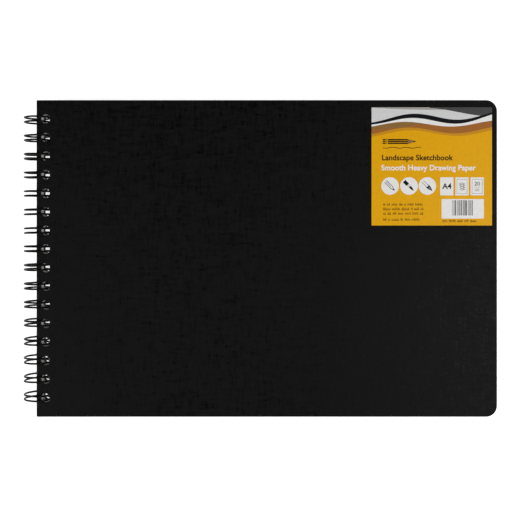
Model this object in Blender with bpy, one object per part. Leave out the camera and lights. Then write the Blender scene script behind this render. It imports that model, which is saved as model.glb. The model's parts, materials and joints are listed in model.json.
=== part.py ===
"""Landscape hardback sketchbook bound with twin-loop wire.

Twenty punched drawing sheets lie between two cloth-covered boards, and one continuous wire, bent
into a row of double loops, holds them. +X runs from the wire to the fore-edge, +Y to the head of
the book and +Z out of the front cover. The origin is at the centre of the base.
"""

import math

import bmesh
import bpy

# Driving dimensions, in metres.
COVER_LENGTH = 0.314
COVER_WIDTH = 0.216
COVER_CORNER = 0.0075
BOARD_THICKNESS = 0.0020
CLOTH_THICKNESS = 0.00025
ENDPAPER_THICKNESS = 0.00015
TURN_IN = 0.015
SHEET_COUNT = 20
SHEET_LENGTH = 0.310
SHEET_WIDTH = 0.210
SHEET_THICKNESS = 0.00028
SHEET_SETBACK = 0.001
LAYER_GAP = 0.00003

HOLE_COUNT = 16
HOLE_PITCH = 0.0127
HOLE_DIAMETER = 0.0066
HOLE_INSET = 0.00605
COVER_HOLE_SIDES = 8
SHEET_HOLE_SIDES = 6

WIRE_DIAMETER = 0.0013
RING_RADIUS = 0.0087
RING_SETBACK = 0.0010
LEG_SPACING = 0.00315
ROOT_BEND = 0.0010
TIP_CLEARANCE = 0.0005
SEAM_SPACE = 0.00175

LABEL_LENGTH = 0.082
LABEL_WIDTH = 0.0805
LABEL_THICKNESS = 0.00010
LABEL_TO_FORE_EDGE = 0.0036
LABEL_TO_HEAD = 0.0050

# Places worked out from them.
WIRE_RADIUS = WIRE_DIAMETER / 2
LEG = LEG_SPACING / 2
WIRE_STUB = HOLE_PITCH / 2 - LEG - ROOT_BEND
RING_REACH = RING_SETBACK + RING_RADIUS + WIRE_RADIUS
OVERALL_LENGTH = COVER_LENGTH + RING_REACH
FORE_X = OVERALL_LENGTH / 2
SPINE_X = FORE_X - COVER_LENGTH
RING_X = SPINE_X - RING_SETBACK
RING_Z = RING_RADIUS + WIRE_RADIUS
HOLE_X = SPINE_X + HOLE_INSET
HOLE_Y = [(n - (HOLE_COUNT - 1) / 2) * HOLE_PITCH for n in range(HOLE_COUNT)]

SHEET_PITCH = SHEET_THICKNESS + LAYER_GAP
BOARD_LEVEL = CLOTH_THICKNESS + LAYER_GAP
TURN_IN_LEVEL = BOARD_LEVEL + BOARD_THICKNESS + LAYER_GAP
ENDPAPER_LEVEL = TURN_IN_LEVEL + CLOTH_THICKNESS + LAYER_GAP
COVER_THICKNESS = ENDPAPER_LEVEL + ENDPAPER_THICKNESS
STACK_HEIGHT = 2 * COVER_THICKNESS + SEAM_SPACE + SHEET_COUNT * SHEET_PITCH
BACK_Z = RING_Z - STACK_HEIGHT / 2
SHEETS_Z = BACK_Z + COVER_THICKNESS + SEAM_SPACE
FRONT_Z = RING_Z + STACK_HEIGHT / 2

CORNER_STEPS = 5
ARC_STEP = 22.5
TIP_STEPS = 4


def remove_everything():
    for obj in list(bpy.data.objects):
        bpy.data.objects.remove(obj, do_unlink=True)


def new_collection(name):
    collection = bpy.data.collections.get(name) or bpy.data.collections.new(name)
    if name not in bpy.context.scene.collection.children:
        bpy.context.scene.collection.children.link(collection)
    return collection


def material(name, color, roughness, metallic=0.0):
    made = bpy.data.materials.new(name)
    made.use_nodes = True
    shader = made.node_tree.nodes["Principled BSDF"]
    shader.inputs["Base Color"].default_value = (*color, 1.0)
    shader.inputs["Roughness"].default_value = roughness
    shader.inputs["Metallic"].default_value = metallic
    made.diffuse_color = (*color, 1.0)
    return made


def outline(x_low, x_high, width, corner):
    """A rectangle centred on Y, square at the spine and rounded at the fore-edge."""
    half = width / 2
    if not corner:
        return [(x_low, -half), (x_high, -half), (x_high, half), (x_low, half)]
    points = [(x_low, -half)]
    for side, start in ((-1, -90), (1, 0)):
        for step in range(CORNER_STEPS + 1):
            turn = math.radians(start + 90 * step / CORNER_STEPS)
            centre_y = side * (half - corner)
            points.append((x_high - corner + corner * math.cos(turn), centre_y + corner * math.sin(turn)))
    points.append((x_low, half))
    return points


def hole_outlines(sides):
    """The row of punched holes, each a polygon drawn round its circle."""
    reach = HOLE_DIAMETER / 2 / math.cos(math.pi / sides)
    turns = [math.radians(360 * (n + 0.5) / sides) for n in range(sides)]
    return [[(HOLE_X + reach * math.cos(a), y + reach * math.sin(a)) for a in turns] for y in HOLE_Y]


def plate_curve(name, outlines, thickness, surface):
    """A flat filled shape: the first outline is its edge and the others are holes in it."""
    curve = bpy.data.curves.new(name, "CURVE")
    curve.dimensions = "2D"
    curve.fill_mode = "BOTH"
    curve.extrude = thickness / 2
    for points in outlines:
        spline = curve.splines.new("POLY")
        spline.points.add(len(points) - 1)
        for point, (x, y) in zip(spline.points, points):
            point.co = (x, y, 0, 1)
        spline.use_cyclic_u = True
    curve.materials.append(surface)
    return curve


def place(name, data, level, collection, pivot=None):
    """Puts data in the world with its lowest face at level, on the pivot that turns it."""
    obj = bpy.data.objects.new(name, data)
    collection.objects.link(obj)
    obj.location = (0, 0, level)
    if pivot:
        obj.parent = pivot
        obj.location = (-RING_X, 0, level - RING_Z)
    return obj


def new_pivot(name, parent, collection):
    """An empty on the ring's centre line, which every leaf turns about."""
    pivot = bpy.data.objects.new(name, None)
    collection.objects.link(pivot)
    pivot.empty_display_size = RING_RADIUS
    if parent:
        pivot.parent = parent
    else:
        pivot.location = (RING_X, 0, RING_Z)
    return pivot


def make_mesh(obj):
    """Turns a curve object into a closed mesh object of the same name and place."""
    evaluated = obj.evaluated_get(bpy.context.evaluated_depsgraph_get())
    mesh = bpy.data.meshes.new_from_object(evaluated)
    work = bmesh.new()
    work.from_mesh(mesh)
    bmesh.ops.remove_doubles(work, verts=work.verts, dist=0.000001)
    bmesh.ops.transform(work, matrix=obj.matrix_world, verts=work.verts)
    work.to_mesh(mesh)
    work.free()
    name = obj.name
    collection = obj.users_collection[0]
    bpy.data.objects.remove(obj, do_unlink=True)
    made = bpy.data.objects.new(name, mesh)
    collection.objects.link(made)
    return made


def cutter(name, outlines, low, high, cutters):
    """A hidden block from low to high that a Boolean takes away."""
    curve = plate_curve(name, outlines, high - low, None)
    obj = place(name, curve, (low + high) / 2, cutters)
    bpy.context.view_layer.update()
    made = make_mesh(obj)
    made.hide_render = True
    made.display_type = "WIRE"
    return made


def subtract(obj, tool):
    """Takes the tool's shape out of obj."""
    cut = obj.modifiers.new("cut_" + tool.name, "BOOLEAN")
    cut.operation = "DIFFERENCE"
    cut.solver = "EXACT"
    cut.object = tool


def cloth_cover(side, surface, collection, cutters, low, outward):
    """Bookcloth round a board: a skin outside, walls round the edge and a turned-in border inside."""
    edge = outline(SPINE_X, FORE_X, COVER_WIDTH, COVER_CORNER)
    height = TURN_IN_LEVEL + CLOTH_THICKNESS
    curve = plate_curve(side + "_cloth", [edge] + hole_outlines(COVER_HOLE_SIDES), height, surface)
    raw = place(side + "_cloth", curve, low + height / 2, collection)
    bpy.context.view_layer.update()
    cloth = make_mesh(raw)
    pocket_low = low + CLOTH_THICKNESS
    pocket_high = low + height - CLOTH_THICKNESS
    pocket = outline(
        SPINE_X + CLOTH_THICKNESS,
        FORE_X - CLOTH_THICKNESS,
        COVER_WIDTH - 2 * CLOTH_THICKNESS,
        COVER_CORNER - CLOTH_THICKNESS,
    )
    window = outline(SPINE_X + TURN_IN, FORE_X - TURN_IN, COVER_WIDTH - 2 * TURN_IN, 0)
    subtract(cloth, cutter(side + "_board_pocket", [pocket], pocket_low, pocket_high, cutters))
    inner_low = low + height / 2 if outward < 0 else low - height
    inner_high = low + 2 * height if outward < 0 else low + height / 2
    subtract(cloth, cutter(side + "_window", [window], inner_low, inner_high, cutters))
    return cloth


def cover(side, outward, outer_face, surfaces, collection, cutters, pivot=None):
    """Cloth, board and endpaper of one cover, built inwards from its outer face."""
    def level(start, thickness):
        return outer_face - outward * (start + thickness / 2)

    board_edge = outline(
        SPINE_X + BOARD_LEVEL,
        FORE_X - BOARD_LEVEL,
        COVER_WIDTH - 2 * BOARD_LEVEL,
        COVER_CORNER - BOARD_LEVEL,
    )
    paper_edge = outline(
        SPINE_X + SHEET_SETBACK,
        SPINE_X + SHEET_SETBACK + SHEET_LENGTH,
        SHEET_WIDTH,
        0,
    )
    holes = hole_outlines(COVER_HOLE_SIDES)
    paper_holes = hole_outlines(SHEET_HOLE_SIDES)
    board = plate_curve(side + "_board", [board_edge] + holes, BOARD_THICKNESS, surfaces["board"])
    paper = plate_curve(
        side + "_endpaper", [paper_edge] + paper_holes, ENDPAPER_THICKNESS, surfaces["endpaper"]
    )
    place(side + "_board", board, level(BOARD_LEVEL, BOARD_THICKNESS), collection, pivot)
    place(side + "_endpaper", paper, level(ENDPAPER_LEVEL, ENDPAPER_THICKNESS), collection, pivot)
    height = TURN_IN_LEVEL + CLOTH_THICKNESS
    low = outer_face if outward < 0 else outer_face - height
    cloth = cloth_cover(side, surfaces["cloth"], collection, cutters, low, outward)
    if pivot:
        cloth.data.transform(pivot.matrix_world.inverted())
        cloth.parent = pivot
    return cloth


def loop_points(y):
    """Centre line of one double loop, from the joining bit before it to the one after it."""
    seam_z = BACK_Z + COVER_THICKNESS + SEAM_SPACE / 2
    root = math.asin((seam_z - RING_Z) / RING_RADIUS)
    tip = root + TIP_CLEARANCE / RING_RADIUS - math.tau
    path = [(y - LEG - ROOT_BEND, root)]
    for turn in (math.radians(45), math.radians(90)):
        across = y - LEG - ROOT_BEND + ROOT_BEND * math.sin(turn)
        path.append((across, root - ROOT_BEND * (1 - math.cos(turn)) / RING_RADIUS))
    path += [(y - LEG, -math.radians(n * ARC_STEP)) for n in range(2, int(360 / ARC_STEP))]
    for step in range(TIP_STEPS // 2 + 1):
        turn = math.pi * step / TIP_STEPS
        path.append((y - LEG * math.cos(turn), tip + LEG * (1 - math.sin(turn)) / RING_RADIUS))
    path += [(2 * y - across, angle) for across, angle in reversed(path[:-1])]
    return [
        (RING_RADIUS * math.cos(angle), across, RING_RADIUS * math.sin(angle))
        for across, angle in path
    ]


def binding_wire(surface, collection, pivot):
    """One continuous wire: sixteen double loops joined by short straight bits along the seam."""
    points = []
    for y in HOLE_Y:
        points += loop_points(y)
    first_x, first_y, first_z = points[0]
    last_x, last_y, last_z = points[-1]
    points.insert(0, (first_x, first_y - WIRE_STUB, first_z))
    points.append((last_x, last_y + WIRE_STUB, last_z))
    curve = bpy.data.curves.new("binding_wire", "CURVE")
    curve.dimensions = "3D"
    curve.bevel_depth = WIRE_RADIUS
    curve.bevel_resolution = 1
    curve.use_fill_caps = True
    curve.materials.append(surface)
    spline = curve.splines.new("POLY")
    spline.points.add(len(points) - 1)
    for point, place_on_axis in zip(spline.points, points):
        point.co = (*place_on_axis, 1)
    wire = bpy.data.objects.new("binding_wire", curve)
    collection.objects.link(wire)
    wire.parent = pivot


def main():
    remove_everything()
    book = new_collection("sketchbook")
    cutters = new_collection("sketchbook_cutters")
    surfaces = {
        "cloth": material("black_bookcloth", (0.010, 0.010, 0.010), 0.75),
        "board": material("black_core_board", (0.040, 0.040, 0.042), 0.9),
        "endpaper": material("black_endpaper", (0.020, 0.020, 0.020), 0.8),
        "sheet": material("white_drawing_paper", (0.86, 0.85, 0.81), 0.85),
        "wire": material("black_enamelled_wire", (0.015, 0.015, 0.016), 0.35, 0.4),
        "label": material("printed_label", (0.70, 0.35, 0.02), 0.45),
    }
    cover("back", -1, BACK_Z, surfaces, book, cutters)

    pivot = new_pivot("binding_wire_pivot", None, book)
    binding_wire(surfaces["wire"], book, pivot)

    edge = outline(SPINE_X + SHEET_SETBACK, SPINE_X + SHEET_SETBACK + SHEET_LENGTH, SHEET_WIDTH, 0)
    sheet = plate_curve(
        "drawing_sheet", [edge] + hole_outlines(SHEET_HOLE_SIDES), SHEET_THICKNESS, surfaces["sheet"]
    )
    for rise in range(SHEET_COUNT):
        name = f"sheet_{SHEET_COUNT - rise:02d}"
        pivot = new_pivot(name + "_pivot", pivot, book)
        place(name, sheet, SHEETS_Z + rise * SHEET_PITCH + SHEET_THICKNESS / 2, book, pivot)

    pivot = new_pivot("front_cover_pivot", pivot, book)
    bpy.context.view_layer.update()
    cover("front", 1, FRONT_Z, surfaces, book, cutters, pivot)
    label_edge = outline(
        FORE_X - LABEL_TO_FORE_EDGE - LABEL_LENGTH, FORE_X - LABEL_TO_FORE_EDGE, LABEL_WIDTH, 0
    )
    raised = COVER_WIDTH / 2 - LABEL_TO_HEAD - LABEL_WIDTH / 2
    label_edge = [(x, y + raised) for x, y in label_edge]
    label = plate_curve("front_label", [label_edge], LABEL_THICKNESS, surfaces["label"])
    place("front_label", label, FRONT_Z + LAYER_GAP + LABEL_THICKNESS / 2, book, pivot)


main()
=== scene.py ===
"""Looks of the wire-bound sketchbook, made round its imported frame.

+X runs from the wire to the fore-edge, +Y to the head of the book, +Z out of the front cover.
Lengths are metres. A depth is measured from a cover's outer face towards the sheets.
"""

import json
import math
import random

import bmesh
import bpy
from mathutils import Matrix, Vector
from mathutils.geometry import delaunay_2d_cdt


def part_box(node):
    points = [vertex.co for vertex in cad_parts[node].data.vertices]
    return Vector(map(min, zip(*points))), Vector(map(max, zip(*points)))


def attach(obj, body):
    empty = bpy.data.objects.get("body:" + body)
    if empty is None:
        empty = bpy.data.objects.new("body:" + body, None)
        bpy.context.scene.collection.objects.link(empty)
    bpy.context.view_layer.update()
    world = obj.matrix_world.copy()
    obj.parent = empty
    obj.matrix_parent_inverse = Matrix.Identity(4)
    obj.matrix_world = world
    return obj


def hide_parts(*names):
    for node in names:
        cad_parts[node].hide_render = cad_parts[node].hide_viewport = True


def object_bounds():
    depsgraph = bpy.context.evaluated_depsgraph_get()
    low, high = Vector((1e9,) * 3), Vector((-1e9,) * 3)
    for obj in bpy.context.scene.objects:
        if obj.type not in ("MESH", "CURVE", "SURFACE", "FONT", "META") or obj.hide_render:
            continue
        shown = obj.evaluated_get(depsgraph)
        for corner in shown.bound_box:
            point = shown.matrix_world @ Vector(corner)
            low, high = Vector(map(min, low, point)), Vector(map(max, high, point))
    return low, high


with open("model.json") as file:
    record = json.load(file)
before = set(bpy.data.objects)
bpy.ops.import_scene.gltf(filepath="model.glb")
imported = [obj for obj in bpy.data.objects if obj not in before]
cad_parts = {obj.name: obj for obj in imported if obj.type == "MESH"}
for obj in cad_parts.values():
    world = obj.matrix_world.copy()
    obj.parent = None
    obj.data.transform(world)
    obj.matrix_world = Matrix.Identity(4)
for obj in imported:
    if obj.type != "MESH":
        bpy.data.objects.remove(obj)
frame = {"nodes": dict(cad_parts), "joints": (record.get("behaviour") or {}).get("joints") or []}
CAD_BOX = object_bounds()

# Sizes that the frame gives.
BACK_LOW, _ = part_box("back_cloth")
FRONT_LOW, FRONT_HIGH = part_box("front_cloth")
SHEET_LOW, SHEET_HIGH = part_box("sheet_01")
LABEL_LOW, LABEL_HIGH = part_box("front_label")
SHEET_NAMES = sorted(name for name in frame["nodes"] if name.startswith("sheet_"))
RING_JOINT = next(joint for joint in frame["joints"] if joint["child"] == "wire")
RING_X, _, RING_Z = RING_JOINT["pos_m"]
SPINE_X = FRONT_LOW.x
FORE_X = FRONT_HIGH.x
COVER_WIDTH = FRONT_HIGH.y - FRONT_LOW.y

# Sizes of the binding.
HOLE_COUNT = 16
HOLE_PITCH = 0.0127
HOLE_RADIUS = 0.0033
HOLE_X = SPINE_X + 0.00605
HOLE_SIDES = 36
WIRE_RADIUS = 0.00065
RING_RADIUS = 0.0087
LEG = 0.001575
ROOT_BEND = 0.0010
TIP_CLEARANCE = 0.0005
WIRE_SIDES = 14
WIRE_WAVER = 0.0009

# Sizes of the covers and sheets.
CLOTH = 0.00025
TURN_IN = 0.015
FORE_CORNER = 0.0075
SPINE_CORNER = 0.0006
EDGE_ROUND = 0.0006
CORNER_STEPS = 10
PAPER_INSET = 0.001
HOLE_RIM = 0.0003
PERFORATION_X = 0.0130
PERFORATION_PITCH = 0.0020
SLIT_LENGTH = 0.0013
SLIT_WIDTH = 0.00012


# Node helpers.
def add(tree, kind, inputs=None, **settings):
    node = tree.nodes.new(kind)
    for name, value in settings.items():
        setattr(node, name, value)
    for name, value in (inputs or {}).items():
        socket = node.inputs[name]
        if isinstance(value, bpy.types.NodeSocket):
            tree.links.new(value, socket)
        else:
            socket.default_value = value
    return node


def maths(tree, operation, first, second=0.0):
    return add(tree, "ShaderNodeMath", {0: first, 1: second}, operation=operation).outputs[0]


def colour_ramp(tree, factor, stops):
    ramp = add(tree, "ShaderNodeValToRGB", {"Fac": factor})
    points = ramp.color_ramp.elements
    while len(points) < len(stops):
        points.new(0.5)
    for point, (place, shade) in zip(points, stops):
        point.position = place
        point.color = (*shade, 1)
    return ramp.outputs["Color"]


def new_surface(name, roughness=0.5, **constants):
    """A node material: its tree, its shader and a reading of the object's own coordinates."""
    surface = bpy.data.materials.new(name)
    surface.use_nodes = True
    tree = surface.node_tree
    shader = tree.nodes["Principled BSDF"]
    shader.inputs["Roughness"].default_value = roughness
    for socket, value in constants.items():
        shader.inputs[socket.replace("_", " ")].default_value = value
    place = add(tree, "ShaderNodeTexCoord").outputs["Object"]
    return surface, tree, shader, place


def stretched(tree, place, scale):
    return add(tree, "ShaderNodeMapping", {"Vector": place, "Scale": scale}).outputs["Vector"]


def noise(tree, place, scale, detail=3.0, roughness=0.5):
    inputs = {"Vector": place, "Scale": scale, "Detail": detail, "Roughness": roughness}
    return add(tree, "ShaderNodeTexNoise", inputs).outputs["Fac"]


def bump(tree, shader, height, distance, strength=1.0):
    """Adds a relief of that distance on top of any relief already there."""
    inputs = {"Height": height, "Distance": distance, "Strength": strength}
    relief = add(tree, "ShaderNodeBump", inputs)
    normal = shader.inputs["Normal"]
    if normal.is_linked:
        tree.links.new(normal.links[0].from_socket, relief.inputs["Normal"])
    tree.links.new(relief.outputs["Normal"], normal)


# Materials.
THREAD_PITCH = 0.00052
THREAD_WANDER = 0.00022
SLUBS_ALONG = (130, 800, 400)
SLUBS_ACROSS = (800, 130, 400)
SCREEN_RULING = 5900.0
SCREEN_TURN = math.radians(45)


def bookcloth():
    """Black book buckram: a plain weave of uneven threads, filled and a little shiny on top."""
    surface, tree, shader, place = new_surface("black_bookcloth", 0.45, Specular_IOR_Level=0.075)
    wander = add(tree, "ShaderNodeTexNoise", {"Vector": place, "Scale": 260.0, "Detail": 2.0})
    centring = {0: wander.outputs["Color"], 1: (0.5, 0.5, 0.5)}
    shift = add(tree, "ShaderNodeVectorMath", centring, operation="SUBTRACT")
    scaling = {0: shift.outputs[0], "Scale": THREAD_WANDER}
    shift = add(tree, "ShaderNodeVectorMath", scaling, operation="SCALE")
    moving = {0: place, 1: shift.outputs[0]}
    moved = add(tree, "ShaderNodeVectorMath", moving, operation="ADD")
    parts = add(tree, "ShaderNodeSeparateXYZ", {0: moved.outputs[0]}).outputs
    turn = math.tau / THREAD_PITCH
    warp = maths(tree, "SINE", maths(tree, "MULTIPLY", parts["X"], turn))
    weft = maths(tree, "SINE", maths(tree, "MULTIPLY", parts["Y"], turn))
    weave = maths(tree, "MULTIPLY", warp, weft)
    thread = maths(tree, "MAXIMUM", warp, weft)
    crossings = maths(tree, "MULTIPLY", weave, 0.3)
    height = maths(tree, "ADD", crossings, maths(tree, "MULTIPLY", thread, 0.2))
    slubs = noise(tree, stretched(tree, place, SLUBS_ALONG), 1.0, 2.0)
    slubs_across = noise(tree, stretched(tree, place, SLUBS_ACROSS), 1.0, 2.0)
    uneven = maths(tree, "ADD", slubs, slubs_across)
    fleck = noise(tree, place, 1500.0, 2.0)
    height = maths(tree, "ADD", height, maths(tree, "MULTIPLY", uneven, 0.7))
    patches = noise(tree, place, 240.0, 3.0)
    flecks = maths(tree, "MULTIPLY", fleck, 0.15)
    tone = maths(tree, "ADD", maths(tree, "MULTIPLY", uneven, 0.45), flecks)
    tone = maths(tree, "ADD", tone, maths(tree, "MULTIPLY", patches, 0.12))
    shades = [(0.49, (0.0010, 0.0010, 0.0010)), (0.68, (0.0036, 0.0036, 0.0037))]
    tree.links.new(colour_ramp(tree, tone, shades), shader.inputs["Base Color"])
    rough = maths(tree, "SUBTRACT", maths(tree, "MULTIPLY", tone, 1.35), 0.33)
    tree.links.new(rough, shader.inputs["Roughness"])
    bump(tree, shader, height, 0.0001, 0.8)
    bump(tree, shader, patches, 0.0002, 0.16)
    return surface


def drawing_paper():
    """White cartridge paper with a fine tooth and a faint clouding from the felt."""
    surface, tree, shader, place = new_surface("white_drawing_paper", 0.88, Specular_IOR_Level=0.2)
    cloud = noise(tree, place, 90.0, 4.0)
    tooth = noise(tree, place, 1900.0, 4.0, 0.6)
    shades = [(0.3, (0.865, 0.855, 0.825)), (0.7, (0.895, 0.887, 0.86))]
    tree.links.new(colour_ramp(tree, cloud, shades), shader.inputs["Base Color"])
    bump(tree, shader, tooth, 0.00005, 0.5)
    return surface


def endpaper():
    """Black uncoated paper, with fibres that catch the light."""
    surface, tree, shader, place = new_surface("black_endpaper", 0.8, Specular_IOR_Level=0.25)
    fibre = noise(tree, stretched(tree, place, (600, 2400, 2400)), 1.0, 4.0)
    shades = [(0.35, (0.010, 0.010, 0.011)), (0.75, (0.024, 0.024, 0.025))]
    tree.links.new(colour_ramp(tree, fibre, shades), shader.inputs["Base Color"])
    bump(tree, shader, noise(tree, place, 1500.0, 4.0), 0.00004, 0.5)
    return surface


def coverboard():
    """Near-black board: pulp in layers, with lighter flecks."""
    surface, tree, shader, place = new_surface("black_coverboard", 0.92, Specular_IOR_Level=0.15)
    layers = noise(tree, stretched(tree, place, (180, 180, 3200)), 1.0, 3.0)
    flecks = noise(tree, place, 2600.0, 3.0, 0.7)
    flecked = maths(tree, "MULTIPLY", flecks, 0.4)
    tone = maths(tree, "ADD", maths(tree, "MULTIPLY", layers, 0.6), flecked)
    shades = [(0.35, (0.014, 0.014, 0.015)), (0.65, (0.05, 0.05, 0.052))]
    tree.links.new(colour_ramp(tree, tone, shades), shader.inputs["Base Color"])
    bump(tree, shader, tone, 0.00008, 0.6)
    return surface


def coated_wire():
    """Steel wire in a black nylon coat, slightly uneven, with a soft shine."""
    surface, tree, shader, place = new_surface("black_coated_wire", 0.3, Specular_IOR_Level=0.07)
    grain = noise(tree, place, 900.0, 3.0)
    shades = [(0.3, (0.0008, 0.0008, 0.0009)), (0.7, (0.0024, 0.0024, 0.0026))]
    tree.links.new(colour_ramp(tree, grain, shades), shader.inputs["Base Color"])
    rough = maths(tree, "ADD", maths(tree, "MULTIPLY", noise(tree, place, 300.0), 0.2), 0.14)
    tree.links.new(rough, shader.inputs["Roughness"])
    bump(tree, shader, grain, 0.00003, 0.35)
    return surface


def printed(name, shade, roughness=0.36):
    """Satin printed paper of one ink: a dot screen, uneven ink and a trace of the fibres."""
    surface, tree, shader, place = new_surface(name, roughness, Specular_IOR_Level=0.08)
    turning = {"Vector": place, "Rotation": (0, 0, SCREEN_TURN)}
    turned = add(tree, "ShaderNodeMapping", turning).outputs["Vector"]
    screen = {"Vector": turned, "Scale": SCREEN_RULING, "Randomness": 0.0}
    dots = add(tree, "ShaderNodeTexVoronoi", screen)
    mottle = noise(tree, place, 420.0, 4.0)
    weight = maths(tree, "MULTIPLY", dots.outputs["Distance"], 0.35)
    tone = maths(tree, "ADD", maths(tree, "MULTIPLY", mottle, 0.75), weight)
    low = tuple(channel * 0.94 for channel in shade)
    high = tuple(min(channel * 1.04, 1.0) for channel in shade)
    tree.links.new(colour_ramp(tree, tone, [(0.3, low), (0.8, high)]), shader.inputs["Base Color"])
    gloss = maths(tree, "ADD", maths(tree, "MULTIPLY", mottle, 0.14), roughness - 0.07)
    tree.links.new(gloss, shader.inputs["Roughness"])
    bump(tree, shader, noise(tree, place, 1800.0, 3.0), 0.00002, 0.3)
    return surface


# Geometry node trees.
def new_geometry_tree(name, sizes):
    """A tree that takes a geometry and the named sizes, with the identifier of each input."""
    tree = bpy.data.node_groups.new(name, "GeometryNodeTree")
    tree.interface.new_socket("Geometry", in_out="INPUT", socket_type="NodeSocketGeometry")
    for label, (kind, value) in sizes.items():
        socket = tree.interface.new_socket(label, in_out="INPUT", socket_type="NodeSocket" + kind)
        if value is not None:
            socket.default_value = value
    tree.interface.new_socket("Geometry", in_out="OUTPUT", socket_type="NodeSocketGeometry")
    items = [item for item in tree.interface.items_tree if item.in_out == "INPUT"]
    known = {item.name: item.identifier for item in items}
    return tree, tree.nodes.new("NodeGroupInput").outputs, known


def end_tree(tree, geometry, material):
    realized = add(tree, "GeometryNodeRealizeInstances", {"Geometry": geometry})
    painting = {"Geometry": realized.outputs[0], "Material": material}
    painted = add(tree, "GeometryNodeSetMaterial", painting)
    add(tree, "NodeGroupOutput", {"Geometry": painted.outputs[0]})


def grow(name, base, tree, known, **values):
    """Runs a tree on a base mesh and returns the result as a plain mesh object at the origin."""
    obj = bpy.data.objects.new(name + "_base", base)
    bpy.context.scene.collection.objects.link(obj)
    modifier = obj.modifiers.new("grow", "NODES")
    modifier.node_group = tree
    for label, value in values.items():
        modifier[known[label.replace("_", " ")]] = value
    evaluated = obj.evaluated_get(bpy.context.evaluated_depsgraph_get())
    mesh = bpy.data.meshes.new_from_object(evaluated)
    bpy.data.objects.remove(obj, do_unlink=True)
    mesh.name = name
    made = bpy.data.objects.new(name, mesh)
    bpy.context.scene.collection.objects.link(made)
    return made


def wire_tree():
    """One loop's centre line, repeated along Y, joined end to end and given a round section."""
    sizes = {
        "Loops": ("Int", HOLE_COUNT),
        "Pitch": ("Float", HOLE_PITCH),
        "Wire Radius": ("Float", WIRE_RADIUS),
        "Sides": ("Int", WIRE_SIDES),
        "Waver": ("Float", WIRE_WAVER),
        "Material": ("Material", None),
    }
    tree, size, known = new_geometry_tree("twin_loop_wire", sizes)
    step = add(tree, "ShaderNodeCombineXYZ", {"Y": size["Pitch"]})
    row = add(tree, "GeometryNodeMeshLine", {"Count": size["Loops"], "Offset": step.outputs[0]})
    copying = {"Points": row.outputs[0], "Instance": size["Geometry"]}
    copies = add(tree, "GeometryNodeInstanceOnPoints", copying)
    joined = add(tree, "GeometryNodeRealizeInstances", {"Geometry": copies.outputs[0]})
    merging = {"Geometry": joined.outputs[0], "Distance": 0.00001}
    joined = add(tree, "GeometryNodeMergeByDistance", merging)
    where = add(tree, "GeometryNodeInputPosition").outputs[0]
    drift = maths(tree, "SUBTRACT", noise(tree, where, 70.0, 0.0), 0.5)
    aside = add(tree, "ShaderNodeCombineXYZ", {"Y": maths(tree, "MULTIPLY", drift, size["Waver"])})
    bending = {"Geometry": joined.outputs[0], "Offset": aside.outputs[0]}
    bent = add(tree, "GeometryNodeSetPosition", bending)
    line = add(tree, "GeometryNodeMeshToCurve", {"Mesh": bent.outputs[0]})
    round_section = {"Resolution": size["Sides"], "Radius": size["Wire Radius"]}
    section = add(tree, "GeometryNodeCurvePrimitiveCircle", round_section)
    tube_inputs = {"Curve": line.outputs[0], "Profile Curve": section.outputs[0], "Fill Caps": True}
    tube = add(tree, "GeometryNodeCurveToMesh", tube_inputs)
    smoothing = {"Geometry": tube.outputs[0], "Shade Smooth": True}
    smooth = add(tree, "GeometryNodeSetShadeSmooth", smoothing)
    end_tree(tree, smooth.outputs[0], size["Material"])
    return tree, known


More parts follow.
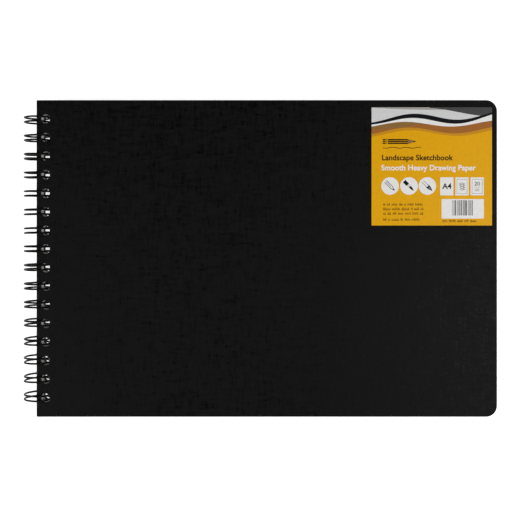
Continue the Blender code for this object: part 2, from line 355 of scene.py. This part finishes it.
def leaf_tree():
    """A flat outline punched with round holes and a line of slits, then given a thickness."""
    sizes = {
        "Thickness": ("Float", 0.0003),
        "Hole X": ("Float", HOLE_X),
        "Hole Radius": ("Float", HOLE_RADIUS),
        "Hole Count": ("Int", HOLE_COUNT),
        "Hole Pitch": ("Float", HOLE_PITCH),
        "Hole Sides": ("Int", HOLE_SIDES),
        "Level": ("Float", 0.0),
        "Slit Count": ("Int", 0),
        "Slit X": ("Float", 0.0),
        "Slit Pitch": ("Float", PERFORATION_PITCH),
        "Slit Length": ("Float", SLIT_LENGTH),
        "Slit Width": ("Float", SLIT_WIDTH),
        "Material": ("Material", None),
    }
    tree, size, known = new_geometry_tree("punched_leaf", sizes)

    def row_of(shape, count, x, pitch):
        span = maths(tree, "MULTIPLY", maths(tree, "SUBTRACT", count, 1.0), pitch)
        half_back = maths(tree, "MULTIPLY", span, -0.5)
        start = add(tree, "ShaderNodeCombineXYZ", {"X": x, "Y": half_back})
        step = add(tree, "ShaderNodeCombineXYZ", {"Y": pitch})
        spacing = {"Count": count, "Start Location": start.outputs[0], "Offset": step.outputs[0]}
        line = add(tree, "GeometryNodeMeshLine", spacing)
        copying = {"Points": line.outputs[0], "Instance": shape}
        copies = add(tree, "GeometryNodeInstanceOnPoints", copying)
        return add(tree, "GeometryNodeRealizeInstances", {"Geometry": copies.outputs[0]}).outputs[0]

    round_hole = {"Resolution": size["Hole Sides"], "Radius": size["Hole Radius"]}
    hole = add(tree, "GeometryNodeCurvePrimitiveCircle", round_hole)
    long_slit = {"Width": size["Slit Width"], "Height": size["Slit Length"]}
    slit = add(tree, "GeometryNodeCurvePrimitiveQuadrilateral", long_slit)
    holes = row_of(hole.outputs[0], size["Hole Count"], size["Hole X"], size["Hole Pitch"])
    slits = row_of(slit.outputs[0], size["Slit Count"], size["Slit X"], size["Slit Pitch"])
    edge = add(tree, "GeometryNodeMeshToCurve", {"Mesh": size["Geometry"]})
    curves = add(tree, "GeometryNodeJoinGeometry")
    for part in (edge.outputs[0], holes, slits):
        tree.links.new(part, curves.inputs[0])
    face = add(tree, "GeometryNodeFillCurve", {"Curve": curves.outputs[0]})
    up = add(tree, "ShaderNodeCombineXYZ", {"Z": 1.0})
    rising = {
        "Mesh": face.outputs[0],
        "Offset": up.outputs[0],
        "Offset Scale": size["Thickness"],
        "Individual": False,
    }
    risen = add(tree, "GeometryNodeExtrudeMesh", rising)
    under = add(tree, "GeometryNodeFlipFaces", {"Mesh": face.outputs[0]})
    body = add(tree, "GeometryNodeJoinGeometry")
    for part in (risen.outputs[0], under.outputs[0]):
        tree.links.new(part, body.inputs[0])
    merging = {"Geometry": body.outputs[0], "Distance": 0.000001}
    closed = add(tree, "GeometryNodeMergeByDistance", merging)
    lift = add(tree, "ShaderNodeCombineXYZ", {"Z": size["Level"]})
    lifting = {"Geometry": closed.outputs[0], "Offset": lift.outputs[0]}
    raised = add(tree, "GeometryNodeSetPosition", lifting)
    end_tree(tree, raised.outputs[0], size["Material"])
    return tree, known


# Outlines.
def rounded_outline(low_x, high_x, half_width, spine_corner, fore_corner, steps=CORNER_STEPS):
    """A rectangle's outline, anticlockwise, with a corner radius for each end."""
    corners = (
        (low_x, -1, 180, spine_corner),
        (high_x, -1, 270, fore_corner),
        (high_x, 1, 0, fore_corner),
        (low_x, 1, 90, spine_corner),
    )
    points = []
    for end_x, side, start, radius in corners:
        centre_x = end_x + radius if end_x == low_x else end_x - radius
        centre_y = side * (half_width - radius)
        for step in range(steps + 1):
            turn = math.radians(start + 90 * step / steps)
            points.append((centre_x + radius * math.cos(turn), centre_y + radius * math.sin(turn)))
    return points


def line_mesh(name, points, closed=True):
    """A bare outline or path, as a mesh of edges."""
    edges = [(n, n + 1) for n in range(len(points) - 1)]
    if closed:
        edges.append((len(points) - 1, 0))
    mesh = bpy.data.meshes.new(name)
    mesh.from_pydata([tuple(p) + (0,) * (3 - len(p)) for p in points], edges, [])
    return mesh


# The binding wire.
ARC_STEPS = 44


def loop_path():
    """The first double loop's centre line, from half a joining bit to the next."""
    seam_z = (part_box("back_endpaper")[1].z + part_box(SHEET_NAMES[-1])[0].z) / 2
    root = math.asin((seam_z - RING_Z) / RING_RADIUS)
    tip = root + TIP_CLEARANCE / RING_RADIUS - math.tau
    half = [(-HOLE_PITCH / 2, root), (-HOLE_PITCH / 4 - (LEG + ROOT_BEND) / 2, root)]
    for step in range(7):
        turn = math.radians(15 * step)
        across = -LEG - ROOT_BEND + ROOT_BEND * math.sin(turn)
        half.append((across, root - ROOT_BEND * (1 - math.cos(turn)) / RING_RADIUS))
    start = half[-1][1]
    end = tip + LEG / RING_RADIUS
    for step in range(1, ARC_STEPS):
        half.append((-LEG, start + (end - start) * step / ARC_STEPS))
    for step in range(7):
        turn = math.radians(15 * step)
        half.append((-LEG * math.cos(turn), tip + LEG * (1 - math.sin(turn)) / RING_RADIUS))
    path = half + [(-across, angle) for across, angle in reversed(half[:-1])]
    first_y = -(HOLE_COUNT - 1) / 2 * HOLE_PITCH
    points = []
    for across, angle in path:
        x = RING_X + RING_RADIUS * math.cos(angle)
        z = RING_Z + RING_RADIUS * math.sin(angle)
        points.append((x, first_y + across, z))
    return points


def make_wire(surface):
    tree, known = wire_tree()
    base = line_mesh("loop_centre_line", loop_path(), closed=False)
    wire = grow("twin_loop_wire", base, tree, known, Material=surface)
    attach(wire, "wire")
    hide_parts("binding_wire")


# Punched leaves.
def sheet_outline():
    return rounded_outline(SHEET_LOW.x, SHEET_HIGH.x, SHEET_HIGH.y, 0.0002, 0.0002, 2)


def make_sheets(tree, known, surface):
    slits = int((SHEET_HIGH.y - SHEET_LOW.y - 0.002) / PERFORATION_PITCH)
    for name in SHEET_NAMES:
        low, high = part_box(name)
        leaf = grow(
            "drawing_" + name,
            line_mesh(name + "_edge", sheet_outline()),
            tree,
            known,
            Thickness=high.z - low.z,
            Level=low.z,
            Slit_Count=slits,
            Slit_X=low.x + PERFORATION_X,
            Material=surface,
        )
        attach(leaf, name)
        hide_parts(name)


def make_board(side, tree, known, surface):
    low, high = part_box(side + "_board")
    corner = FORE_CORNER - CLOTH
    edge = rounded_outline(low.x, high.x, high.y, SPINE_CORNER / 2, corner)
    board = grow(
        side + "_coverboard",
        line_mesh(side + "_board_edge", edge),
        tree,
        known,
        Thickness=high.z - low.z,
        Level=low.z,
        Material=surface,
    )
    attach(board, side + "_cover")
    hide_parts(side + "_board")


# Shells made from rings of points.
def ring_of(work, points, z):
    """A closed ring of vertices and edges at one height."""
    verts = [work.verts.new((x, y, z)) for x, y in points]
    count = len(verts)
    edges = [work.edges.new((verts[n], verts[(n + 1) % count])) for n in range(count)]
    return verts, edges


def bridge(work, first, second):
    """A strip of faces between two rings with the same number of points."""
    count = len(first[0])
    for n in range(count):
        after = (n + 1) % count
        face = work.faces.new((first[0][n], first[0][after], second[0][after], second[0][n]))
        face.smooth = True


def cap(work, rings):
    """Fills the flat area between the outermost ring and the rings inside it."""
    edges = [edge for ring in rings for edge in ring[1]]
    bmesh.ops.triangle_fill(work, use_beauty=True, use_dissolve=False, edges=edges)


def circle(x, y, radius):
    turns = [math.tau * n / HOLE_SIDES for n in range(HOLE_SIDES)]
    return [(x + radius * math.cos(turn), y + radius * math.sin(turn)) for turn in turns]


def finish_mesh(name, work, surface):
    """Closes a bmesh into an object, with its faces pointing out."""
    bmesh.ops.remove_doubles(work, verts=work.verts, dist=0.0000005)
    bmesh.ops.recalc_face_normals(work, faces=work.faces)
    mesh = bpy.data.meshes.new(name)
    work.to_mesh(mesh)
    work.free()
    mesh.materials.append(surface)
    obj = bpy.data.objects.new(name, mesh)
    bpy.context.scene.collection.objects.link(obj)
    return obj


HOLE_YS = [(n - (HOLE_COUNT - 1) / 2) * HOLE_PITCH for n in range(HOLE_COUNT)]


def cover_ring(work, inset, z):
    """The cover's outline drawn in by an inset, always with the same number of points."""
    fore = max(FORE_CORNER - inset, 0.0001)
    spine = max(SPINE_CORNER - inset, 0.00005)
    half = COVER_WIDTH / 2 - inset
    return ring_of(work, rounded_outline(SPINE_X + inset, FORE_X - inset, half, spine, fore), z)


def arc(start, end, steps=4):
    """Points of a quarter circle from start to end, each an inset and a depth."""
    points = []
    for step in range(steps + 1):
        turn = math.pi / 2 * step / steps
        inset = end[0] + (start[0] - end[0]) * (1 - math.sin(turn))
        depth = start[1] + (end[1] - start[1]) * (1 - math.cos(turn))
        points.append((inset, depth))
    return points


def make_cloth(side, surface):
    """Bookcloth drawn over a board: outer skin, rounded edges, and a turned-in border inside."""
    low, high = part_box(side + "_cloth")
    outward = 1 if side == "front" else -1
    face_z = high.z if outward > 0 else low.z
    depth = high.z - low.z
    work = bmesh.new()

    def ring_at(inset, depth_in):
        return cover_ring(work, inset, face_z - outward * depth_in)

    def hole_rings(radius, depth_in):
        z = face_z - outward * depth_in
        return [ring_of(work, circle(HOLE_X, y, radius), z) for y in HOLE_YS]

    def strip(rings):
        for first, second in zip(rings, rings[1:]):
            bridge(work, first, second)

    outer = [ring_at(*point) for point in arc((EDGE_ROUND, 0), (0, EDGE_ROUND))]
    inner_round = CLOTH * 1.2
    lower = [(inset, depth - drop) for inset, drop in arc((inner_round, 0), (0, inner_round))]
    outer += [ring_at(*point) for point in reversed(lower)]
    turned = [ring_at(TURN_IN - CLOTH / 2, depth), ring_at(TURN_IN, depth - CLOTH / 2)]
    turned.append(ring_at(TURN_IN, depth - CLOTH))
    inside = [ring_at(CLOTH, depth - CLOTH), ring_at(CLOTH, CLOTH)]
    strip(outer)
    strip(turned)
    strip(inside)
    skin_rims = [hole_rings(HOLE_RADIUS + HOLE_RIM, 0)]
    skin_rims.append(hole_rings(HOLE_RADIUS + HOLE_RIM * 0.3, HOLE_RIM * 0.15))
    skin_rims += [hole_rings(HOLE_RADIUS, HOLE_RIM * 0.5), hole_rings(HOLE_RADIUS, CLOTH)]
    turn_in_rims = [hole_rings(HOLE_RADIUS, depth - CLOTH), hole_rings(HOLE_RADIUS, depth)]
    for rims in (skin_rims, turn_in_rims):
        for column in zip(*rims):
            strip(column)
    cap(work, [outer[0]] + skin_rims[0])
    cap(work, [inside[1]] + skin_rims[-1])
    cap(work, [inside[0], turned[-1]] + turn_in_rims[0])
    cap(work, [outer[-1], turned[0]] + turn_in_rims[1])
    cloth = finish_mesh(side + "_bookcloth", work, surface)
    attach(cloth, side + "_cover")
    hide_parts(side + "_cloth")


# How the endpaper dips past the turned-in cloth: each place and its share of the drop.
PAPER_DIP = ((-0.0006, 0.0), (0.0, 0.1), (0.0007, 0.65), (0.0018, 0.95), (0.003, 1.0))


def make_endpaper(side, surface):
    """The glued endpaper, which dips off the turned-in cloth onto the bare board."""
    low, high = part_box(side + "_endpaper")
    outward = 1 if side == "front" else -1
    inner_z = low.z if outward > 0 else high.z
    thick = high.z - low.z
    work = bmesh.new()
    step_in = TURN_IN - PAPER_INSET
    steps = [(0.0, 0.0)] + [(step_in + past, drop) for past, drop in PAPER_DIP]

    def ring_at(inset, level):
        edge = rounded_outline(low.x + inset, high.x - inset, high.y - inset, 0.0003, 0.0003, 3)
        return ring_of(work, edge, level)

    sides = []
    for sunk in (0.0, thick):
        level = inner_z + outward * sunk
        rings = [ring_at(inset, level + outward * drop * CLOTH * 0.9) for inset, drop in steps]
        holes = [ring_of(work, circle(HOLE_X, y, HOLE_RADIUS), level) for y in HOLE_YS]
        cap(work, rings[:2] + holes)
        for first, second in zip(rings[1:], rings[2:]):
            bridge(work, first, second)
        cap(work, [rings[-1]])
        sides.append((rings[0], holes))
    bridge(work, sides[0][0], sides[1][0])
    for first, second in zip(sides[0][1], sides[1][1]):
        bridge(work, first, second)
    paper = finish_mesh(side + "_pasted_endpaper", work, surface)
    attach(paper, side + "_cover")
    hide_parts(side + "_endpaper")


# The label. Its artwork is in millimetres from its top left corner, x to the right and y down.
LABEL_LENGTH = (LABEL_HIGH.x - LABEL_LOW.x) * 1000
LABEL_DROP = (LABEL_HIGH.y - LABEL_LOW.y) * 1000
WAVE_STEPS = 56
SMALLEST_PRINT = 0.00001
SIGN_LEVEL = 53.6
SIGN_RADIUS = 6.0
SIGN_TURN = 45
PRINT_SEED = 20
INKS = {
    "orange": (0.71, 0.352, 0.002),
    "paper_white": (0.76, 0.75, 0.73),
    "pale_grey": (0.60, 0.605, 0.60),
    "mid_grey": (0.34, 0.32, 0.30),
    "slate": (0.060, 0.058, 0.060),
    "black": (0.004, 0.0042, 0.006),
    "brown": (0.33, 0.12, 0.024),
    "tan": (0.25, 0.13, 0.038),
    "amber": (0.53, 0.24, 0.012),
    "dark_brown": (0.020, 0.007, 0.002),
    "umber": (0.06, 0.024, 0.004),
}


def box_shape(left, top, width, height):
    return [(left, top), (left + width, top), (left + width, top + height), (left, top + height)]


def disc(x, y, radius, steps=48):
    turns = [math.tau * n / steps for n in range(steps)]
    return [(x + radius * math.cos(turn), y + radius * math.sin(turn)) for turn in turns]


def wave(base, lean, swing, crest, length):
    """A line across the label that leans and swings, with a crest at that place along it."""
    points = []
    for n in range(WAVE_STEPS + 1):
        x = LABEL_LENGTH * n / WAVE_STEPS
        rise = swing * math.cos(math.tau * (x - crest) / length)
        points.append((x, base + lean * x / LABEL_LENGTH - rise))
    return points


def ribbon(upper, lower):
    return upper + lower[::-1]


def swell(upper, thin, thick):
    """A line under another: thin at both ends of the label and thick in the middle."""
    lowered = []
    for x, y in upper:
        lowered.append((x, y + thin + (thick - thin) * math.sin(math.pi * x / LABEL_LENGTH)))
    return lowered


def wave_band():
    """The painted band at the head of the label: a pale field, a black ribbon and warm hills."""
    top = [(x, 0.0) for x, _ in wave(0, 0, 0, 0, 1)]
    floor = [(x, 12.0) for x, _ in top]
    black_top = wave(8.0, -3.0, 2.6, 28.0, 64.0)
    hills = wave(12.2, -1.5, 1.9, 22.0, 66.0)
    crossing = wave(13.6, -1.6, 1.5, 41.0, 70.0)
    foot = wave(16.6, -1.6, 2.3, 25.0, 66.0)
    glow = wave(18.3, -1.4, 2.2, 26.0, 66.0)
    corner = [(x, y) for x, y in wave(1.9, 1.9, 2.4, 37.0, 88.0) if x > 39.0 and y > 0.02]
    return [
        ("amber", ribbon(floor, glow)),
        ("pale_grey", ribbon(top, floor)),
        ("mid_grey", ribbon(top, swell(top, 0.3, 1.7))),
        ("slate", [(corner[0][0], 0.0), (LABEL_LENGTH, 0.0)] + corner[::-1]),
        ("paper_white", ribbon(black_top, foot)),
        ("black", ribbon(black_top, swell(black_top, 1.3, 3.1))),
        ("brown", ribbon(hills, foot)),
        ("tan", ribbon(hills, [(x, max(y, other)) for (x, y), (_, other) in zip(hills, crossing)])),
    ]


def turned_shape(points, x, y, degrees):
    """A tool's outline, drawn pointing along +X round the origin, turned and moved to its disc."""
    turn = math.radians(degrees)
    along, across = math.cos(turn), math.sin(turn)
    return [(x + u * along - v * across, y + u * across + v * along) for u, v in points]


def tool_signs():
    """Three white discs with a pencil, a brush and a nib, each a few outlines along its length."""
    pencil_body = [(-4.4, -1.15), (1.2, -1.15), (4.6, 0), (1.2, 1.15), (-4.4, 1.15)]
    pencil_inside = [(-4.4, -0.8), (1.0, -0.8), (2.8, -0.2), (2.8, 0.2), (1.0, 0.8), (-4.4, 0.8)]
    pencil = [
        ("black", pencil_body),
        ("paper_white", pencil_inside),
        ("slate", box_shape(-4.4, -0.15, 5.3, 0.3)),
    ]
    brush = [
        ("black", box_shape(-4.7, -1.2, 3.4, 2.4)),
        ("mid_grey", box_shape(-1.3, -0.9, 2.1, 1.8)),
        ("paper_white", box_shape(-0.9, -0.9, 0.4, 1.8)),
        ("paper_white", box_shape(-0.1, -0.9, 0.4, 1.8)),
        ("black", [(0.8, -0.8), (2.6, -0.75), (4.8, 0), (2.6, 0.75), (0.8, 0.8)]),
    ]
    holder = [(-4.5, -0.9), (-0.6, -0.9), (0.6, -1.35), (0.6, 1.35), (-0.6, 0.9), (-4.5, 0.9)]
    hollow = [(-4.5, -0.62), (-0.5, -0.62), (0.3, -0.9), (0.3, 0.9), (-0.5, 0.62), (-4.5, 0.62)]
    nib = [
        ("slate", holder),
        ("paper_white", hollow),
        ("black", [(0.6, -1.35), (2.4, -1.0), (4.9, 0), (2.4, 1.0), (0.6, 1.35)]),
        ("paper_white", box_shape(1.0, -0.09, 2.2, 0.18)),
    ]
    signs = []
    for x, tool in ((12.6, pencil), (25.5, brush), (38.0, nib)):
        signs.append(("paper_white", disc(x, SIGN_LEVEL, SIGN_RADIUS)))
        signs += [(ink, turned_shape(points, x, SIGN_LEVEL, SIGN_TURN)) for ink, points in tool]
    return signs


def frame_lines(left, top, width, height, line):
    """A thin rectangular frame, as four bars."""
    return [
        box_shape(left, top, width, line),
        box_shape(left, top + height - line, width, line),
        box_shape(left, top + line, line, height - 2 * line),
        box_shape(left + width - line, top + line, line, height - 2 * line),
    ]


def lettering(ink, words, left, base, width, weight=0.0):
    """Flat letters that fill a width and stand on the line at base."""
    curve = bpy.data.curves.new("lettering", "FONT")
    curve.body = words
    curve.resolution_u = 4
    curve.offset = weight
    obj = bpy.data.objects.new("lettering", curve)
    bpy.context.scene.collection.objects.link(obj)
    mesh = bpy.data.meshes.new_from_object(obj.evaluated_get(bpy.context.evaluated_depsgraph_get()))
    xs = [vertex.co.x for vertex in mesh.vertices]
    scale = width / (max(xs) - min(xs))
    shapes = []
    for polygon in mesh.polygons:
        corners = [mesh.vertices[n].co for n in polygon.vertices]
        outline = [(left + (co.x - min(xs)) * scale, base - co.y * scale) for co in corners]
        shapes.append((ink, outline))
    bpy.data.objects.remove(obj, do_unlink=True)
    return shapes


def small_print(chance, left, right, base):
    """A line of marks grouped like words, which say nothing."""
    shapes = []
    x = left
    while x < right - 2.0:
        letters = chance.randint(2, 8)
        start = x
        for _ in range(letters):
            if x > right - 0.4:
                break
            rise = 1.9 if chance.random() < 0.3 else 1.35
            shapes.append(("umber", box_shape(x, base - rise, 0.3, rise)))
            x += chance.choice((0.6, 0.7, 0.8))
        level = base - chance.choice((0.25, 0.75, 1.3))
        shapes.append(("umber", box_shape(start, level, max(x - start - 0.4, 0.3), 0.22)))
        x += 0.9
    return shapes


def emblem():
    """A plain pencil lying over a drawn line."""
    drawn_top = [(7.6 + n, 27.3 + 0.35 * math.sin(n * 0.7)) for n in range(27)]
    drawn_foot = [(x, y + 0.45) for x, y in drawn_top]
    return [
        ("dark_brown", box_shape(7.6, 21.6, 17.0, 3.4)),
        ("orange", box_shape(7.6, 22.6, 17.0, 0.3)),
        ("orange", box_shape(7.6, 23.8, 17.0, 0.3)),
        ("orange", box_shape(9.6, 21.6, 0.5, 3.4)),
        ("orange", box_shape(10.6, 21.6, 0.5, 3.4)),
        ("tan", [(24.6, 21.6), (30.6, 23.3), (24.6, 25.0)]),
        ("dark_brown", [(28.5, 22.7), (30.6, 23.3), (28.5, 23.9)]),
        ("dark_brown", ribbon(drawn_top, drawn_foot)),
    ]


def facts_boxes():
    """White boxes with the paper size, a sign for heavy paper and the number of sheets."""
    shapes = [("paper_white", box_shape(left, 47.7, 9.0, 12.3)) for left in (46.7, 57.1, 67.4)]
    shapes += lettering("black", "A4", 48.1, 55.5, 6.3, 0.02)
    for left in (58.0, 68.3):
        shapes += [("mid_grey", bar) for bar in frame_lines(left, 48.9, 7.2, 9.9, 0.3)]
    for n in range(4):
        level = 52.2 + n * 1.2
        outer = [(59.4 + n * 0.15, level), (61.6, level - 0.9), (63.8, level), (61.6, level + 0.9)]
        inner = [(60.2, level), (61.6, level - 0.55), (63.0, level), (61.6, level + 0.55)]
        shapes += [("slate", outer), ("paper_white", inner)]
    shapes += lettering("slate", "20", 70.1, 53.3, 3.6, 0.01)
    shapes.append(("mid_grey", box_shape(69.8, 54.3, 4.2, 0.25)))
    shapes.append(("mid_grey", box_shape(70.4, 55.5, 3.0, 0.5)))
    shapes.append(("mid_grey", box_shape(70.4, 56.6, 3.0, 0.5)))
    return shapes


def bar_panel(chance):
    """A white panel with bars of random widths, which encode nothing."""
    shapes = [("paper_white", box_shape(47.7, 62.5, 28.8, 13.3))]
    x = 54.8
    while x < 68.6:
        width = chance.choice((0.22, 0.22, 0.44, 0.66))
        shapes.append(("black", box_shape(x, 63.3, width, 10.4)))
        x += width + chance.choice((0.25, 0.3, 0.5, 0.7))
    return shapes


def artwork():
    """Every printed shape of the label as ink and outline, the later over the earlier."""
    chance = random.Random(PRINT_SEED)
    shapes = [("orange", box_shape(0, 0, LABEL_LENGTH, LABEL_DROP))]
    shapes += wave_band()
    shapes += emblem()
    shapes += lettering("dark_brown", "Landscape Sketchbook", 7.1, 36.0, 48.5, 0.025)
    shapes += lettering("paper_white", "Smooth Heavy Drawing Paper", 6.6, 42.9, 64.5, 0.022)
    shapes += tool_signs()
    shapes += facts_boxes()
    shapes += bar_panel(chance)
    for base in (67.0, 70.1, 73.2, 77.3):
        shapes += small_print(chance, 7.8, 35.8, base)
    shapes += small_print(chance, 48.3, 72.0, 78.3)
    return shapes


def signed_area(outline):
    pairs = zip(outline, outline[1:] + outline[:1])
    return sum(x * next_y - next_x * y for (x, y), (next_x, next_y) in pairs) / 2


def make_label():
    """One sheet of paper whose printed face is divided along the outlines of its artwork."""
    names = list(INKS)
    points, outlines, ink_numbers = [], [], []
    for ink, outline in artwork():
        area = signed_area(outline)
        if abs(area) < SMALLEST_PRINT:
            continue
        if area < 0:
            outline.reverse()
        outlines.append(list(range(len(points), len(points) + len(outline))))
        points += [Vector(point) for point in outline]
        ink_numbers.append(names.index(ink))
    flat, _, pieces, _, _, covered_by = delaunay_2d_cdt(points, [], outlines, 1, 0.0001, True)
    work = bmesh.new()
    top = LABEL_HIGH.z
    places = [(LABEL_LOW.x + p.x / 1000, LABEL_HIGH.y - p.y / 1000, top) for p in flat]
    verts = [work.verts.new(place) for place in places]
    for piece, sources in zip(pieces, covered_by):
        face = work.faces.new([verts[n] for n in piece])
        face.material_index = ink_numbers[max(sources)]
    rim = [edge for edge in work.edges if edge.is_boundary]
    walls = bmesh.ops.extrude_edge_only(work, edges=rim)["geom"]
    for item in walls:
        if isinstance(item, bmesh.types.BMVert):
            item.co.z = LABEL_LOW.z
        elif isinstance(item, bmesh.types.BMFace):
            item.material_index = names.index("paper_white")
    edges = [item for item in walls if isinstance(item, bmesh.types.BMEdge)]
    low_rim = [edge for edge in edges if edge.is_boundary]
    fill = bmesh.ops.triangle_fill(work, use_beauty=True, use_dissolve=False, edges=low_rim)
    under = fill["geom"]
    for item in under:
        if isinstance(item, bmesh.types.BMFace):
            item.material_index = names.index("paper_white")
    surfaces = [printed(name + "_ink", shade) for name, shade in INKS.items()]
    label = finish_mesh("printed_label", work, surfaces[0])
    for surface in surfaces[1:]:
        label.data.materials.append(surface)
    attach(label, "front_cover")
    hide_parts("front_label")


# Camera, light and floor.
CAMERA_RISE = 0.548
CAMERA_X = 0.00055
CAMERA_Y = 0.030
VIEW_WIDTH = 0.3543
VIEW_CENTRE_Y = -0.00102
SENSOR = 36
FLOOR_REACH = 3.0
FLOOR_GAP = 0.0001
FLOOR_GLOW = 0.8
SKY_GLOW = [(0.0, (1.0, 1.0, 1.0)), (0.25, (0.45, 0.45, 0.45)), (0.6, (0.06, 0.06, 0.06))]
# Each light's name, place, side in metres and power in watts.
LIGHTS = (
    ("key", (0.78, -0.2, 1.1), 0.7, 11.6),
    ("fill", (-0.95, -0.35, 0.95), 0.8, 9.6),
)


def make_camera():
    data = bpy.data.cameras.new("camera")
    data.sensor_width = SENSOR
    data.lens = SENSOR * CAMERA_RISE / VIEW_WIDTH
    data.shift_y = (VIEW_CENTRE_Y - CAMERA_Y) / VIEW_WIDTH
    data.clip_start = 0.01
    camera = bpy.data.objects.new("camera", data)
    camera.location = (CAMERA_X, CAMERA_Y, FRONT_HIGH.z + CAMERA_RISE)
    bpy.context.scene.collection.objects.link(camera)
    bpy.context.scene.camera = camera


def make_floor():
    """A pale floor that touches the lowest loops and the back cover's fore-edge."""
    slope = (BACK_LOW.z - CAD_BOX[0].z) / (FORE_X - RING_X)
    half = FLOOR_REACH
    work = bmesh.new()
    corners = [(-half, -half), (half, -half), (half, half), (-half, half)]
    level = CAD_BOX[0].z - FLOOR_GAP
    work.faces.new([work.verts.new((x, y, level + slope * (x - RING_X))) for x, y in corners])
    constants = {"Specular_IOR_Level": 0.0, "Emission_Strength": FLOOR_GLOW}
    surface, tree, shader, place = new_surface("pale_floor", 0.9, **constants)
    shader.inputs["Emission Color"].default_value = (1.0, 1.0, 1.0, 1)
    cloud = noise(tree, place, 3.0, 2.0)
    shades = [(0.0, (0.58, 0.58, 0.58)), (1.0, (0.62, 0.62, 0.62))]
    tree.links.new(colour_ramp(tree, cloud, shades), shader.inputs["Base Color"])
    floor = finish_mesh("floor", work, surface)
    if floor.data.polygons[0].normal.z < 0:
        floor.data.flip_normals()


def make_lights():
    world = bpy.data.worlds.new("studio")
    world.use_nodes = True
    sky = world.node_tree.nodes["Background"]
    heading = add(world.node_tree, "ShaderNodeTexCoord").outputs["Generated"]
    rise = add(world.node_tree, "ShaderNodeSeparateXYZ", {0: heading}).outputs["Z"]
    world.node_tree.links.new(colour_ramp(world.node_tree, rise, SKY_GLOW), sky.inputs["Color"])
    bpy.context.scene.world = world
    for name, place, size, power in LIGHTS:
        data = bpy.data.lights.new(name, "AREA")
        data.size = size
        data.energy = power
        light = bpy.data.objects.new(name, data)
        light.location = place
        light.rotation_euler = (-Vector(place)).to_track_quat("-Z", "Y").to_euler()
        bpy.context.scene.collection.objects.link(light)
    bpy.context.scene.view_settings.view_transform = "Standard"


def main():
    make_camera()
    make_lights()
    make_floor()
    cloth = bookcloth()
    board = coverboard()
    lining = endpaper()
    paper = drawing_paper()
    make_wire(coated_wire())
    tree, known = leaf_tree()
    make_sheets(tree, known, paper)
    for side in ("back", "front"):
        make_board(side, tree, known, board)
        make_cloth(side, cloth)
        make_endpaper(side, lining)
    make_label()


main()
